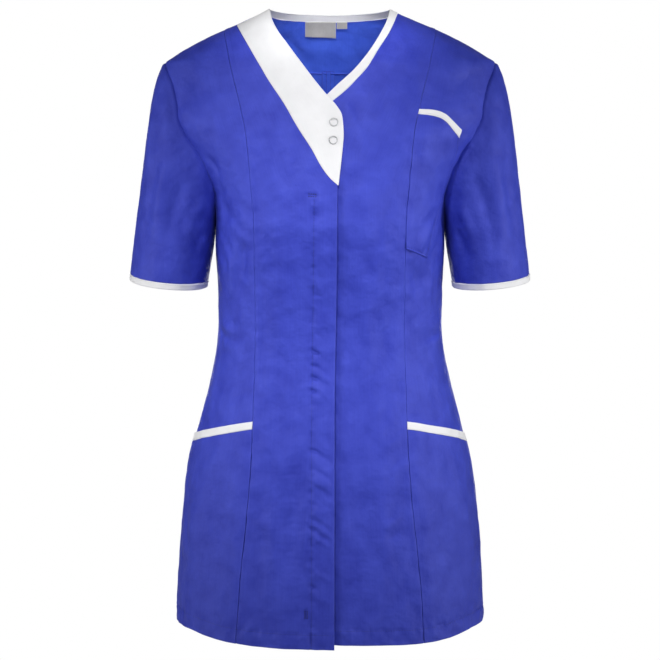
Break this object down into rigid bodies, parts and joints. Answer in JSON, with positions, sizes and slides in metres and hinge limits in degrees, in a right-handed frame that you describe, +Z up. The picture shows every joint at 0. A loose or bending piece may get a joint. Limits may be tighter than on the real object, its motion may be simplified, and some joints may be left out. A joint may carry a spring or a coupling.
{
  "type": "work tunic",
  "caption": "Short-sleeved hip-length work tunic with an asymmetric front closing, contrast neck band, ring studs, patch pockets and banded cuffs, kept hollow as if worn.",
  "frame": {"origin": "Between the two side neck points, on the line where the wearer's shoulders hold the garment up.", "axes": "+Z up along the body, -Y the front, +X the wearer's left."},
  "size_m": [0.4796, 0.2721, 0.7396],
  "materials": {
    "royal_blue_cloth": "matte",
    "white_trim_cloth": "matte",
    "label_cloth": "matte",
    "ring_steel": "polished"
  },
  "bodies": {
    "root": {"back_body": "royal_blue_cloth", "back_yoke": "royal_blue_cloth", "front_left_centre": "royal_blue_cloth", "front_left_side": "royal_blue_cloth", "front_right_centre": "royal_blue_cloth", "front_right_side": "royal_blue_cloth", "sleeve_left": "royal_blue_cloth", "sleeve_right": "royal_blue_cloth", "chest_pocket": "royal_blue_cloth", "hip_pocket_left": "royal_blue_cloth", "hip_pocket_right": "royal_blue_cloth", "chest_pocket_band": "white_trim_cloth", "hip_pocket_band_left": "white_trim_cloth", "hip_pocket_band_right": "white_trim_cloth", "cuff_binding_left": "white_trim_cloth", "cuff_binding_right": "white_trim_cloth", "neck_band": "white_trim_cloth", "neck_binding_back": "white_trim_cloth", "neck_binding_front": "white_trim_cloth", "neck_label": "label_cloth", "size_label": "label_cloth", "ring_stud_lower": "ring_steel", "ring_stud_upper": "ring_steel"}
  },
  "joints": []
}
